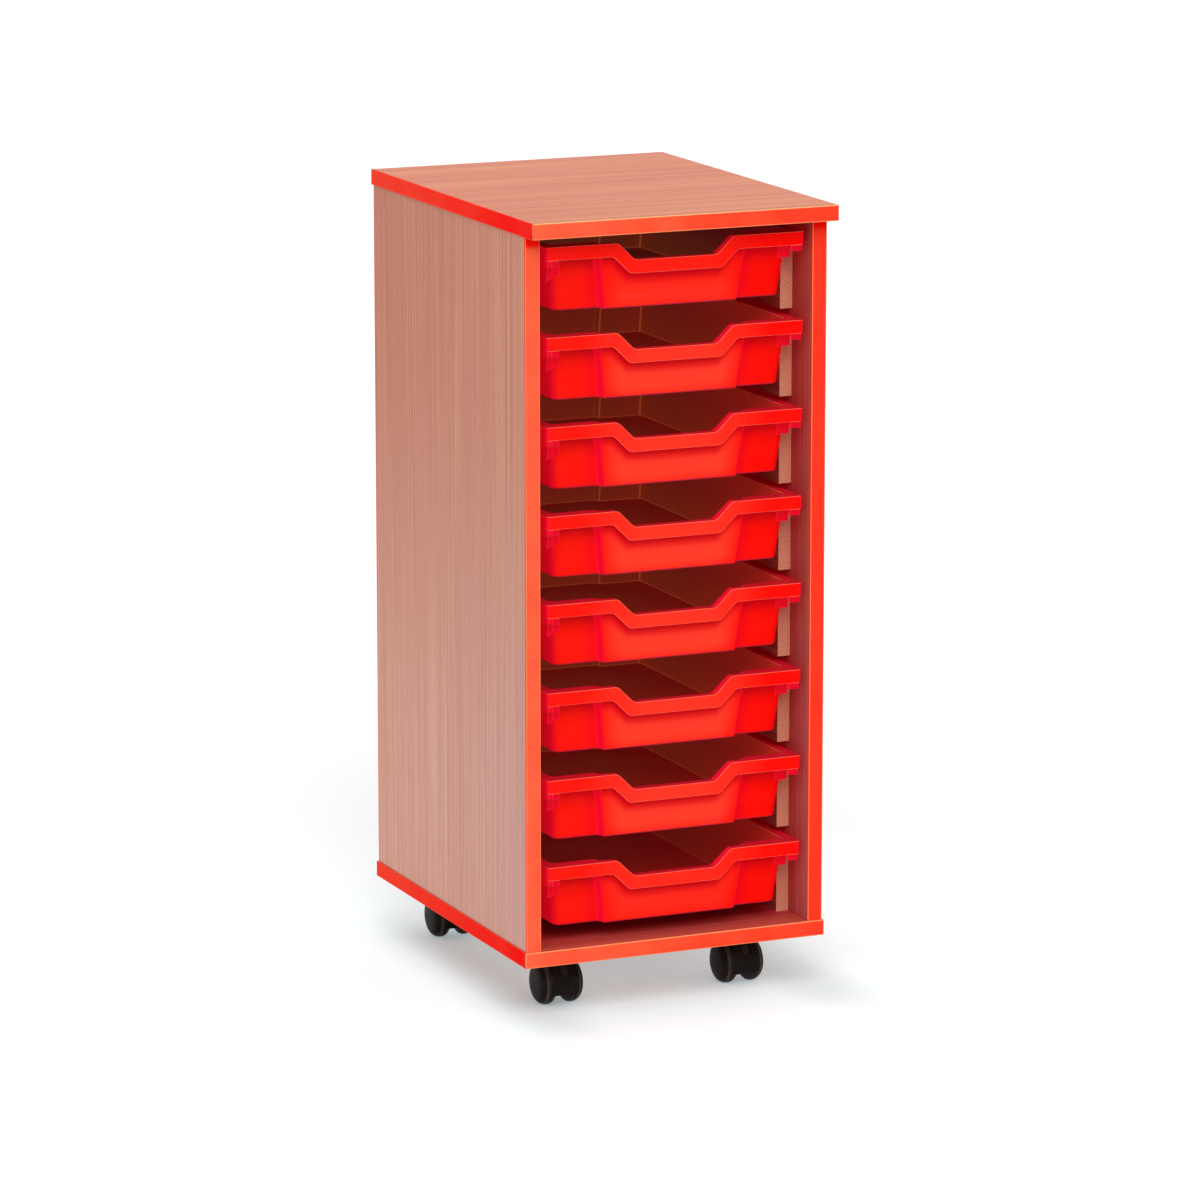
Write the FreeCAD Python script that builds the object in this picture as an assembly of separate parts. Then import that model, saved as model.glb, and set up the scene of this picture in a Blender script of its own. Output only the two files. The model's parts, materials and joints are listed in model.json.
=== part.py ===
import FreeCAD, Part
import math
import os

# Mobile tray storage unit for a classroom. A board carcass with coloured edging stands on four
# twin-wheel castors. Eight shallow moulded trays hang by their rims on pairs of runner battens.
# Millimetres. X is to the right, the open front faces -Y, Z is up. The origin lies on the floor,
# under the middle of the unit's bounding box.

V = FreeCAD.Vector
X_AXIS, Y_AXIS = V(1, 0, 0), V(0, 1, 0)

# ---------------------------------------------------------------- trays
tray_count = 8
tray_width = 312.0          # over the rim
tray_length = 427.0         # over the rim, front to back
tray_height = 75.0
tray_clear = 25.0           # bottom of one tray to the rim of the next
tray_wall = 2.2
tray_floor = 2.4

band_height = 15.0          # upright band round the rim
band_spread = 5.5           # how far the band's lower edge widens the dip, each side
skirt_depth = 22.0          # rim top to the edge that slides on the battens
skirt_inset = 1.0           # the sliding skirt stands back from the band
skirt_end_cap = 15.0        # width of the skirt's closed ends, from its outer face
rim_corner_radius = 5.0

dip_depth = 19.5            # finger dip in the front and back of the rim
dip_top_half = 70.0
dip_bottom_half = 50.0
dip_radius = 7.0

rim_overhang = 10.5         # rim beyond the body's side walls
side_draft = 8.5            # how much narrower each side is at the bottom
bulge_half_top = 90.0       # half width of the middle part of the end walls
bulge_half_bottom = 81.0
bulge_setback_top = 8.0     # rim face to the middle part of the end wall
bulge_setback_bottom = 15.0
shoulder_setback_top = 17.5     # rim face to the shoulders beside the middle part
shoulder_setback_bottom = 25.0
bulge_slant = 3.0           # slant of the step between the middle part and a shoulder
body_corner_radius = 9.0
bulge_corner_radius = 4.5
step_corner_radius = 2.5
tray_bottom_radius = 4.0
tray_round_steps = 3        # flats that make up the bottom round

gusset_proud = 2.8          # corner gussets between the rim and the shoulders
gusset_width = 15.3
gusset_setback = 17.2
gusset_reach = 6.0
gusset_depth = 31.5
gusset_chamfer = 3.0

# ---------------------------------------------------------------- carcass
board = 18.0
edging = 2.0
tray_side_gap = 9.0         # rim to side panel
tray_top_gap = 13.7         # top panel to the first tray's rim
tray_front_setback = 3.0    # side panel's front to the rim
tray_back_gap = 2.0         # rim to back panel
tray_rest_gap = 0.3         # skirt to batten
top_front_overhang = 26.0   # top panel in front of the side panels
panel_overhang = 2.0        # top and base beyond the side panels elsewhere
back_thickness = 8.0
back_recess = 10.0          # back panel to the side panels' rear edge
groove_depth = 8.0
groove_gap = 0.2

batten_overlap = 6.0        # rim over batten
batten_gap = 5.7            # batten to the rim of the tray below
batten_front_setback = 52.0
batten_back_gap = 1.0
batten_screws_each = 3
batten_screw_end = 40.0     # end screw to the batten's end

# ---------------------------------------------------------------- castors
castor_head_room = 9.8      # top of the hood to the plate
castor_side_inset = 70.0    # swivel axis to the side panel's outer face
castor_end_inset = 66.0     # swivel axis to the side panel's front or rear edge
castor_trail = 14.0         # swivel axis to axle
wheel_radius = 25.0
wheel_width = 20.5
wheel_gap = 14.0            # between the inner faces of the pair
wheel_shoulder = 8.0        # round on the tread's inner edge
wheel_tread = 9.5           # inner face to the start of the dome
wheel_rim_depth = 18.0      # inner face to the dome's shoulder
wheel_dome_drop = 7.0       # tread to the dome's shoulder
dome_fullness = 1.3         # how far the dome's middle stands out from a straight slope
wheel_bore_depth = 16.5
axle_radius = 3.0
running_gap = 0.06          # radial, on axle and kingpin
moving_gap = 0.3            # faces that pass each other
hood_width = 37.0
hood_gap = 1.2
hood_wall = 3.0
hood_front_lift = 15.0      # floor to the hood's front lip
hood_back_angle = 128.0     # where the hood ends, measured up from the front
rib_setback = 8.0           # tread to the edge of the hood's middle rib
badge_half_width = 4.6      # raised drop on the hood's front
badge_rise = 9.0            # axle to the drop's tip
badge_length = 16.0
badge_height = 1.0
boss_radius = 9.0
pin_radius = 4.0
pin_depth = 26.0            # kingpin below the plate
collar_radius = 7.0
collar_height = 2.0
plate_size = 44.0
plate_thickness = 3.0
plate_corner_radius = 5.0
plate_screw_half = 16.0

# ---------------------------------------------------------------- fixings
fixing_gap = 0.1            # radial, screws and dowels in their holes
screw_skin = 8.0            # board left beyond a screw's tip
castor_screw_radius = 2.0
castor_screw_head_radius = 3.6
castor_screw_head_height = 2.2
batten_screw_radius = 2.0
batten_screw_head_radius = 4.0
batten_screw_head_height = 2.5
dowel_radius = 4.0
dowel_length = 30.0
dowel_skin = 6.0            # top or base panel left beyond a dowel
dowel_end_gap = 0.5
dowel_edge_inset = 50.0

# ---------------------------------------------------------------- worked out from the above
tray_pitch = tray_height + tray_clear
body_half_top = tray_width / 2 - rim_overhang
body_half_bottom = body_half_top - side_draft
gusset_outer = body_half_top + gusset_proud
gusset_inner = gusset_outer - gusset_width
inner_half = tray_width / 2 + tray_side_gap
side_half = inner_half + board
outer_half = side_half + panel_overhang
side_depth = tray_front_setback + tray_length + tray_back_gap + back_thickness + back_recess
overall_depth = top_front_overhang + side_depth + panel_overhang
top_front = -overall_depth / 2
side_front = top_front + top_front_overhang
side_back = side_front + side_depth
panel_back = side_back + panel_overhang
base_front = side_front - panel_overhang
tray_front = side_front + tray_front_setback
tray_middle = tray_front + tray_length / 2
back_front = tray_front + tray_length + tray_back_gap
batten_inner = tray_width / 2 - batten_overlap
batten_height = tray_pitch - skirt_depth - tray_rest_gap - batten_gap
batten_front = side_front + batten_front_setback
batten_back = back_front - batten_back_gap

hood_inner = wheel_radius + hood_gap
hood_outer = hood_inner + hood_wall
plate_bottom = wheel_radius + hood_outer + castor_head_room
castor_height = plate_bottom + plate_thickness
castor_screw_bite = board - screw_skin
wheel_rim_radius = wheel_radius - wheel_dome_drop
rib_radius = wheel_radius - rib_setback
dowel_in_panel = board - dowel_skin

base_bottom = castor_height
base_top = base_bottom + board
inner_height = (tray_top_gap + (tray_count - 1) * tray_pitch + skirt_depth + tray_rest_gap
                + batten_height)
top_bottom = base_top + inner_height
top_top = top_bottom + board

castor_x = side_half - castor_side_inset
castor_spots = {
    "castor_front_left": (-castor_x, side_front + castor_end_inset),
    "castor_front_right": (castor_x, side_front + castor_end_inset),
    "castor_back_left": (-castor_x, side_back - castor_end_inset),
    "castor_back_right": (castor_x, side_back - castor_end_inset),
}
wheel_inner = wheel_gap / 2
rib_half = wheel_inner - moving_gap


def rim_top(tray):
    """Height of the rim's top face, for the tray counted from the top."""
    return top_bottom - tray_top_gap - tray * tray_pitch


def batten_top(tray):
    return rim_top(tray) - skirt_depth - tray_rest_gap


# ---------------------------------------------------------------- helpers
def box(x0, x1, y0, y1, z0, z1):
    return Part.makeBox(x1 - x0, y1 - y0, z1 - z0, V(x0, y0, z0))


def cylinder(radius, start, end):
    along = end.sub(start)
    return Part.makeCylinder(radius, along.Length, start, along)


def rounded_wire(corners, radii):
    """Closed wire through the corners. Each corner gets an arc of its radius, or stays sharp at 0."""
    count = len(corners)
    starts, ends, arcs = [], [], []
    for i in range(count):
        here = corners[i]
        to_last = corners[i - 1].sub(here).normalize()
        to_next = corners[(i + 1) % count].sub(here).normalize()
        if radii[i] == 0:
            starts.append(here)
            ends.append(here)
            arcs.append(None)
            continue
        half_angle = to_last.getAngle(to_next) / 2
        tangent = radii[i] / math.tan(half_angle)
        first = here.add(to_last.multiply(tangent))
        last = here.add(to_next.multiply(tangent))
        inwards = first.add(last).multiply(0.5).sub(here).normalize()
        middle = here.add(inwards.multiply(radii[i] / math.sin(half_angle) - radii[i]))
        starts.append(first)
        ends.append(last)
        arcs.append(Part.Arc(first, middle, last).toShape())
    edges = []
    for i in range(count):
        if arcs[i]:
            edges.append(arcs[i])
        edges.append(Part.LineSegment(ends[i], starts[(i + 1) % count]).toShape())
    return Part.Wire(edges)


def rounded_plate(half_x, half_y, z0, z1, radius):
    signs = [(1, -1), (1, 1), (-1, 1), (-1, -1)]
    corners = [V(x * half_x, y * half_y, z0) for x, y in signs]
    return Part.Face(rounded_wire(corners, [radius] * 4)).extrude(V(0, 0, z1 - z0))


def mirrored(shape, normal):
    return shape.mirror(V(0, 0, 0), normal)


def four_corners(shape):
    """The shape and its mirror images in both upright middle planes."""
    pair = [shape, mirrored(shape, X_AXIS)]
    return pair + [mirrored(one, Y_AXIS) for one in pair]


def turned(profile, centre, axis):
    """Solid of revolution of a closed profile wire."""
    return Part.Face(profile).revolve(centre, axis, 360)


def save(name, shape):
    shape.exportStep("parts/" + name + ".step")
    print(name, len(shape.Solids), "solid(s)", round(shape.Volume / 1000, 1), "cm3")


# ---------------------------------------------------------------- tray
# The tray is drawn about its own middle, with the top of the rim at Z 0.
def drafted(top, bottom, z):
    return top + (bottom - top) * (-z / tray_height)


def body_outline(z, inset):
    """Outline of the drafted body at height z, moved inwards by inset."""
    side = drafted(body_half_top, body_half_bottom, z) - inset
    bulge = drafted(bulge_half_top, bulge_half_bottom, z) - inset
    bulge_y = tray_length / 2 - drafted(bulge_setback_top, bulge_setback_bottom, z) - inset
    shoulder_y = tray_length / 2 - drafted(shoulder_setback_top, shoulder_setback_bottom, z) - inset
    step = bulge + bulge_slant
    quarter = [(side, shoulder_y, body_corner_radius - inset),
               (step, shoulder_y, step_corner_radius + inset),
               (bulge, bulge_y, bulge_corner_radius - inset / 2)]
    back_half = quarter + [(-x, y, radius) for x, y, radius in reversed(quarter)]
    round_trip = back_half + [(-x, -y, radius) for x, y, radius in back_half]
    corners = [V(x, y, z) for x, y, radius in round_trip]
    return rounded_wire(corners, [radius for x, y, radius in round_trip])


def body_loft(bottom_z, top_z, inset, bottom_radius):
    """Drafted body with a rounded bottom edge, built up from level outlines."""
    levels = []
    for i in range(tray_round_steps):
        angle = math.radians(90.0 * i / tray_round_steps)
        levels.append((bottom_z + bottom_radius * (1 - math.cos(angle)),
                       inset + bottom_radius * (1 - math.sin(angle))))
    levels += [(bottom_z + bottom_radius, inset), (top_z, inset)]
    return Part.makeLoft([body_outline(z, away) for z, away in levels], True, True)


def dip_line(down, spread):
    """Rim line seen from the front: level, down into the finger dip, and up again."""
    end = tray_width
    upper, lower = -down, -down - dip_depth
    return [(-end, upper), (-dip_top_half - spread, upper), (-dip_bottom_half - spread, lower),
            (dip_bottom_half + spread, lower), (dip_top_half + spread, upper), (end, upper)]


def dip_region(top_line, bottom_line):
    """Solid between two rim lines, running the whole length of the tray."""
    y0 = -tray_length
    corners = [V(x, y0, z) for x, z in top_line] + [V(x, y0, z) for x, z in reversed(bottom_line)]
    bends = [0, dip_radius, dip_radius, dip_radius, dip_radius, 0]
    radii = bends if len(bottom_line) == len(top_line) else [0] * len(bottom_line)
    return Part.Face(rounded_wire(corners, bends + radii)).extrude(V(0, 2 * tray_length, 0))


def make_tray():
    half_width, half_length = tray_width / 2, tray_length / 2
    above = 2 * tray_wall
    below = -dip_depth - 2 * band_height
    outer_body = body_loft(-tray_height, above, 0, tray_bottom_radius)
    hollow = body_loft(-tray_height + tray_floor, above, tray_wall, tray_bottom_radius - tray_wall / 2)
    rim_line = dip_line(0, 0)
    deep = [(-tray_width, -2 * tray_height), (tray_width, -2 * tray_height)]
    below_rim = dip_region(rim_line, deep)
    walls = outer_body.cut(hollow).common(below_rim)

    block = rounded_plate(half_width, half_length, below, above, rim_corner_radius)
    core = rounded_plate(half_width - tray_wall, half_length - tray_wall, below - tray_wall,
                         above + tray_wall, rim_corner_radius - tray_wall)
    flange = block.common(dip_region(rim_line, dip_line(tray_wall, tray_wall / 2))).cut(hollow)
    band = block.cut(core).common(dip_region(rim_line, dip_line(band_height, band_spread)))

    skirt_outer = half_width - skirt_inset
    skirt_end = half_length - skirt_inset
    skirt_top = -band_height + tray_wall
    skirt = box(skirt_outer - tray_wall, skirt_outer, -skirt_end, skirt_end, -skirt_depth, skirt_top)
    cap = box(skirt_outer - skirt_end_cap, skirt_outer, skirt_end - tray_wall, skirt_end,
              -skirt_depth, skirt_top)
    shelf = box(skirt_outer - tray_wall, half_width - tray_wall / 2, -skirt_end, skirt_end,
                -band_height, skirt_top)
    front = half_length - gusset_setback
    end_view = [(gusset_inner, -tray_wall), (gusset_outer, -tray_wall), (gusset_outer, -gusset_depth),
                (gusset_inner + gusset_chamfer, -gusset_depth),
                (gusset_inner, -gusset_depth + gusset_chamfer)]
    outline = rounded_wire([V(x, front, z) for x, z in end_view], [0] * 5)
    gusset = Part.Face(outline).extrude(V(0, -gusset_reach, 0)).cut(hollow)

    pieces = [flange, band] + four_corners(cap) + four_corners(gusset)
    pieces += [skirt, mirrored(skirt, X_AXIS), shelf, mirrored(shelf, X_AXIS)]
    return walls.fuse(pieces).removeSplitter()


# ---------------------------------------------------------------- carcass
def dowel_spots():
    """Middle of each dowel's joint, and whether it goes up into the top panel."""
    x = side_half - board / 2
    rows = [side_front + dowel_edge_inset, (side_front + side_back) / 2, side_back - dowel_edge_inset]
    return [(side * x, y, up) for up in (False, True) for side in (-1, 1) for y in rows]


def dowel(spot, extra_radius, extra_length):
    x, y, up = spot
    joint, way = (top_bottom, 1) if up else (base_top, -1)
    start = joint + way * (dowel_in_panel + extra_length)
    end = joint - way * (dowel_length - dowel_in_panel + extra_length)
    return cylinder(dowel_radius + extra_radius, V(x, y, start), V(x, y, end))


def castor_screw_spots():
    offsets = (-plate_screw_half, plate_screw_half)
    return [(cx + dx, cy + dy) for cx, cy in castor_spots.values() for dx in offsets for dy in offsets]


def batten_screw_rows():
    first, last = batten_front + batten_screw_end, batten_back - batten_screw_end
    step = (last - first) / (batten_screws_each - 1)
    return [first + i * step for i in range(batten_screws_each)]


def batten_screw(side, y, z, gap):
    """Countersunk screw through a batten into the side panel, or with a gap, the hole for it."""
    face = side * batten_inner
    neck = face + side * batten_screw_head_height
    tip = side * (side_half - screw_skin + gap)
    head = Part.makeCone(batten_screw_head_radius + gap, batten_screw_radius + gap,
                         batten_screw_head_height, V(face, y, z), V(side, 0, 0))
    return head.fuse(cylinder(batten_screw_radius + gap, V(neck, y, z), V(tip, y, z)))


def batten_screw_spots(side):
    return [(side, y, batten_top(tray) - batten_height / 2) for tray in range(tray_count)
            for y in batten_screw_rows()]


def back_groove(x0, x1, z0, z1):
    spare = groove_gap / 2
    return box(x0, x1, back_front - spare, back_front + back_thickness + spare, z0, z1)


def make_side_panel(side):
    """The right panel is drawn, and the left one is its mirror image."""
    panel = box(inner_half, side_half, side_front + edging, side_back - edging, base_top, top_bottom)
    panel = panel.cut(back_groove(inner_half, inner_half + groove_depth, base_top, top_bottom))
    holes = [dowel(spot, fixing_gap, dowel_end_gap) for spot in dowel_spots() if spot[0] > 0]
    holes += [batten_screw(1, y, z, fixing_gap) for _, y, z in batten_screw_spots(1)]
    panel = panel.cut(holes)
    return panel if side > 0 else mirrored(panel, X_AXIS)


def make_flat_panel(front, z0, groove_z0, groove_z1, spots):
    core_half = outer_half - edging
    panel = box(-core_half, core_half, front + edging, panel_back - edging, z0, z0 + board)
    reach = inner_half + groove_depth
    panel = panel.cut(back_groove(-reach, reach, groove_z0, groove_z1))
    return panel.cut([dowel(spot, fixing_gap, dowel_end_gap) for spot in spots])


def make_top_panel():
    spots = [spot for spot in dowel_spots() if spot[2]]
    return make_flat_panel(top_front, top_bottom, top_bottom, top_bottom + groove_depth, spots)


def make_base_panel():
    spots = [spot for spot in dowel_spots() if not spot[2]]
    panel = make_flat_panel(base_front, base_bottom, base_top - groove_depth, base_top, spots)
    hole = castor_screw_radius + fixing_gap
    end = base_bottom + castor_screw_bite + fixing_gap
    return panel.cut([cylinder(hole, V(x, y, base_bottom), V(x, y, end)) for x, y in castor_screw_spots()])


def make_flat_edging(front, z0):
    """Strips on the four edges of the top or base: long ones front and back, short ones between."""
    z1 = z0 + board
    front_strip = box(-outer_half, outer_half, front, front + edging, z0, z1)
    back_strip = box(-outer_half, outer_half, panel_back - edging, panel_back, z0, z1)
    side_strip = box(outer_half - edging, outer_half, front + edging, panel_back - edging, z0, z1)
    return Part.makeCompound([front_strip, back_strip, side_strip, mirrored(side_strip, X_AXIS)])


def make_side_edging(side):
    front_strip = box(inner_half, side_half, side_front, side_front + edging, base_top, top_bottom)
    back_strip = box(inner_half, side_half, side_back - edging, side_back, base_top, top_bottom)
    strips = [front_strip, back_strip]
    return Part.makeCompound(strips if side > 0 else [mirrored(strip, X_AXIS) for strip in strips])


def make_back_panel():
    reach = inner_half + groove_depth - groove_gap
    return box(-reach, reach, back_front, back_front + back_thickness, base_top - groove_depth,
               top_bottom + groove_depth - groove_gap)


def make_batten(side, tray):
    top = batten_top(tray)
    batten = box(batten_inner, inner_half, batten_front, batten_back, top - batten_height, top)
    middle = top - batten_height / 2
    batten = batten.cut([batten_screw(1, y, middle, fixing_gap) for y in batten_screw_rows()])
    return batten if side > 0 else mirrored(batten, X_AXIS)


# ---------------------------------------------------------------- castor
# A castor is drawn with its swivel axis on Z. The wheels trail towards +Y.
axle_centre = V(0, castor_trail, wheel_radius)


def make_castor_plate():
    plate = rounded_plate(plate_size / 2, plate_size / 2, plate_bottom, castor_height, plate_corner_radius)
    holes = [cylinder(pin_radius + fixing_gap, V(0, 0, plate_bottom - 1), V(0, 0, castor_height + 1))]
    for x in (-plate_screw_half, plate_screw_half):
        for y in (-plate_screw_half, plate_screw_half):
            hole = castor_screw_radius + fixing_gap
            holes.append(cylinder(hole, V(x, y, plate_bottom - 1), V(x, y, castor_height + 1)))
    return plate.cut(holes)


def make_castor_pin():
    shaft = cylinder(pin_radius, V(0, 0, plate_bottom - pin_depth), V(0, 0, castor_height))
    return shaft.fuse(cylinder(collar_radius, V(0, 0, plate_bottom - collar_height), V(0, 0, plate_bottom)))


def make_castor_axle():
    reach = wheel_inner + wheel_bore_depth - moving_gap
    return cylinder(axle_radius, axle_centre.add(V(-reach, 0, 0)), axle_centre.add(V(reach, 0, 0)))


def make_wheel(side):
    """Wheel on the given side of the hood's rib: round shoulder, narrow tread and domed outer face."""
    def at(depth, radius):
        return axle_centre.add(V(side * (wheel_inner + depth), 0, radius))

    bore = axle_radius + running_gap
    turn = wheel_shoulder * (1 - math.sqrt(0.5))
    dome_middle = at((wheel_tread + wheel_rim_depth) / 2 + dome_fullness,
                     (wheel_radius + wheel_rim_radius) / 2 + dome_fullness)
    rise = wheel_width - wheel_rim_depth
    cap_radius = (wheel_rim_radius ** 2 + rise ** 2) / (2 * rise)
    half_turn = math.asin(wheel_rim_radius / cap_radius) / 2
    cap_middle = at(wheel_width - cap_radius * (1 - math.cos(half_turn)), cap_radius * math.sin(half_turn))
    edges = [
        Part.LineSegment(at(0, bore), at(0, wheel_radius - wheel_shoulder)).toShape(),
        Part.Arc(at(0, wheel_radius - wheel_shoulder), at(turn, wheel_radius - turn),
                 at(wheel_shoulder, wheel_radius)).toShape(),
        Part.LineSegment(at(wheel_shoulder, wheel_radius), at(wheel_tread, wheel_radius)).toShape(),
        Part.Arc(at(wheel_tread, wheel_radius), dome_middle,
                 at(wheel_rim_depth, wheel_rim_radius)).toShape(),
        Part.Arc(at(wheel_rim_depth, wheel_rim_radius), cap_middle, at(wheel_width, 0)).toShape(),
        Part.LineSegment(at(wheel_width, 0), at(wheel_bore_depth, 0)).toShape(),
        Part.LineSegment(at(wheel_bore_depth, 0), at(wheel_bore_depth, bore)).toShape(),
        Part.LineSegment(at(wheel_bore_depth, bore), at(0, bore)).toShape(),
    ]
    return turned(Part.Wire(edges), axle_centre, X_AXIS)


def hood_arc(inner, outer, half_width):
    """Part of a tube about the axle, from the hood's front lip over the top to its back end."""
    start = math.degrees(math.asin((hood_front_lift - wheel_radius) / hood_outer))

    def at(radius, degrees):
        angle = math.radians(degrees)
        return axle_centre.add(V(-half_width, -radius * math.cos(angle), radius * math.sin(angle)))

    middle = (start + hood_back_angle) / 2
    edges = [Part.Arc(at(outer, start), at(outer, middle), at(outer, hood_back_angle)).toShape(),
             Part.LineSegment(at(outer, hood_back_angle), at(inner, hood_back_angle)).toShape(),
             Part.Arc(at(inner, hood_back_angle), at(inner, middle), at(inner, start)).toShape(),
             Part.LineSegment(at(inner, start), at(outer, start)).toShape()]
    return Part.Face(Part.Wire(edges)).extrude(V(2 * half_width, 0, 0))


def make_castor_hood():
    boss_top = plate_bottom - collar_height - moving_gap
    shell = hood_arc(hood_inner, hood_outer, hood_width / 2)
    boss = cylinder(boss_radius, V(0, 0, wheel_radius), V(0, 0, boss_top))
    web = hood_arc(axle_radius, hood_inner + hood_wall / 2, rib_half)
    disc = cylinder(rib_radius, axle_centre.add(V(-rib_half, 0, 0)), axle_centre.add(V(rib_half, 0, 0)))
    for side in (-1, 1):
        room = cylinder(hood_inner, axle_centre.add(V(side * rib_half, 0, 0)),
                        axle_centre.add(V(side * hood_width, 0, 0)))
        boss = boss.cut(room)
    badge_tip = wheel_radius + badge_rise
    badge_top = badge_tip + badge_length
    shoulder = badge_tip + badge_half_width
    drop = [V(-badge_half_width, 0, badge_top), V(-badge_half_width, 0, shoulder), V(0, 0, badge_tip),
            V(badge_half_width, 0, shoulder), V(badge_half_width, 0, badge_top)]
    bend = badge_half_width / 2
    badge = Part.Face(rounded_wire(drop, [0, bend, bend / 2, bend, 0])).extrude(V(0, -2 * hood_outer, 0))
    badge = badge.common(hood_arc(hood_inner, hood_outer + badge_height, hood_width / 2))
    hood = shell.fuse([web, disc, boss, badge])
    socket = cylinder(pin_radius + running_gap, V(0, 0, plate_bottom - pin_depth - moving_gap),
                      V(0, 0, castor_height))
    reach = V(hood_width, 0, 0)
    axle_hole = cylinder(axle_radius + fixing_gap, axle_centre.sub(reach), axle_centre.add(reach))
    return hood.cut([socket, axle_hole]).removeSplitter()


def make_castor_screws():
    screws = []
    for x, y in castor_screw_spots():
        head = cylinder(castor_screw_head_radius, V(x, y, plate_bottom - castor_screw_head_height),
                        V(x, y, plate_bottom))
        tip = V(x, y, base_bottom + castor_screw_bite)
        shank = cylinder(castor_screw_radius, V(x, y, plate_bottom), tip)
        screws.append(head.fuse(shank))
    return Part.makeCompound(screws)


# ---------------------------------------------------------------- write the nodes
os.makedirs("parts", exist_ok=True)

save("top_panel", make_top_panel())
save("base_panel", make_base_panel())
save("left_side_panel", make_side_panel(-1))
save("right_side_panel", make_side_panel(1))
save("back_panel", make_back_panel())
save("top_edging", make_flat_edging(top_front, top_bottom))
save("base_edging", make_flat_edging(base_front, base_bottom))
save("left_side_edging", make_side_edging(-1))
save("right_side_edging", make_side_edging(1))
save("carcass_dowels", Part.makeCompound([dowel(spot, 0, 0) for spot in dowel_spots()]))
save("batten_screws", Part.makeCompound([batten_screw(side, y, z, 0) for side in (-1, 1)
                                         for _, y, z in batten_screw_spots(side)]))
save("castor_screws", make_castor_screws())

tray_shape = make_tray()
for tray in range(tray_count):
    number = str(tray + 1)
    save("left_batten_" + number, make_batten(-1, tray))
    save("right_batten_" + number, make_batten(1, tray))
    save("tray_" + number, tray_shape.translated(V(0, tray_middle, rim_top(tray))))

castor_pieces = {
    "plate": make_castor_plate(),
    "pin": make_castor_pin(),
    "hood": make_castor_hood(),
    "axle": make_castor_axle(),
    "wheel_left": make_wheel(-1),
    "wheel_right": make_wheel(1),
}
for castor, (x, y) in castor_spots.items():
    for piece, shape in castor_pieces.items():
        save(castor + "_" + piece, shape.translated(V(x, y, 0)))

print("overall", 2 * outer_half, overall_depth, top_top)
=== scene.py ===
# %% [markdown]
# # A mobile tray storage unit
# Eight shallow red trays hang by their rims inside a narrow beech-effect cabinet. Red plastic
# edging covers every cut edge of the boards, and four twin-wheel castors carry the unit. The
# measured model is loaded first. Its boards, battens and fixings already have the right shape, so
# they stay and only get a finish. The moulded and rounded pieces are modelled again here, because
# soft edges and thin walls are what make plastic look like plastic.

# %% Load the measured model
import json
import math
import bmesh
import bpy
from mathutils import Matrix, Vector

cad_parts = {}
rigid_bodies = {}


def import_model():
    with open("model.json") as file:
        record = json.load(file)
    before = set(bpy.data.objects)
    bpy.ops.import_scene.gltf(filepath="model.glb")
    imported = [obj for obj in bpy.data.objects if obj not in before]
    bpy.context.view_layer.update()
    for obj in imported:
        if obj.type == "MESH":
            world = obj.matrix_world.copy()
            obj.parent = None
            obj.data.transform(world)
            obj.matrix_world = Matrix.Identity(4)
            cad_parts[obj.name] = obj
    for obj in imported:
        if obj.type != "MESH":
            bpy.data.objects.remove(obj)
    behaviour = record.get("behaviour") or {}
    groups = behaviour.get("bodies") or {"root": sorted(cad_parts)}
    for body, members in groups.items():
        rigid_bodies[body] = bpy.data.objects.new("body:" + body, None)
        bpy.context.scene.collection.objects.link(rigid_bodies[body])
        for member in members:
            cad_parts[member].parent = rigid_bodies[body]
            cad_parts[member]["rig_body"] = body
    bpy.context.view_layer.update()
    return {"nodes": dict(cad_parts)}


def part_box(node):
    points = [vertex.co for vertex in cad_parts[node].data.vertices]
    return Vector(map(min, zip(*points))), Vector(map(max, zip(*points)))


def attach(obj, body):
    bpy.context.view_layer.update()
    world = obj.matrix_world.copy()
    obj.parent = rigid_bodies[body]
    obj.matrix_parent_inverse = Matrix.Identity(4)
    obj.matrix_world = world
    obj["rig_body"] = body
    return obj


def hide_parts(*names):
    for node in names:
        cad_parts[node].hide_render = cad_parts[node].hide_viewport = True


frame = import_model()

# %% [markdown]
# ## Camera
# A long lens from seven metres away keeps the upright edges nearly parallel. The camera stands to
# the left of the open front and looks down a little, so the left side, the front and the top all
# show.

# %% Camera
SENSOR_WIDTH, FOCAL_LENGTH = 36, 178.93    # millimetres
CAMERA_PLACE = (-2.6905, -6.1458, 1.8599)
LOOKS_DOWN, LOOKS_RIGHT = 12.016, 23.641    # degrees from level, and from straight at the front

camera_data = bpy.data.cameras.new("camera")
camera_data.sensor_width = SENSOR_WIDTH
camera_data.lens = FOCAL_LENGTH
camera_data.clip_end = 100
camera = bpy.data.objects.new("camera", camera_data)
camera.location = CAMERA_PLACE
camera.rotation_euler = (math.radians(90 - LOOKS_DOWN), 0, math.radians(-LOOKS_RIGHT))
bpy.context.scene.collection.objects.link(camera)
bpy.context.scene.camera = camera
bpy.context.scene.view_settings.view_transform = "Standard"
print("camera is", round(camera.location.length, 2), "m from the foot of the unit")

# %% [markdown]
# ## Shader sums
# A finish is a small sum over the surface, such as "grain times 0.3 plus 0.4". Blender writes each
# step as a node. The class below wraps a node's socket so that Python's own signs add the Math
# nodes, and its `node` method adds any other kind. Colours are given as screen values from 0 to
# 255 and turned into the linear values that shaders use.

# %% Shader sums
def rgb(red, green, blue):
    """A screen colour, 0 to 255, as a linear shader colour."""
    levels = [value / 255 for value in (red, green, blue)]
    linear = [v / 12.92 if v <= 0.04045 else ((v + 0.055) / 1.055) ** 2.4 for v in levels]
    return (*linear, 1)


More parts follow.
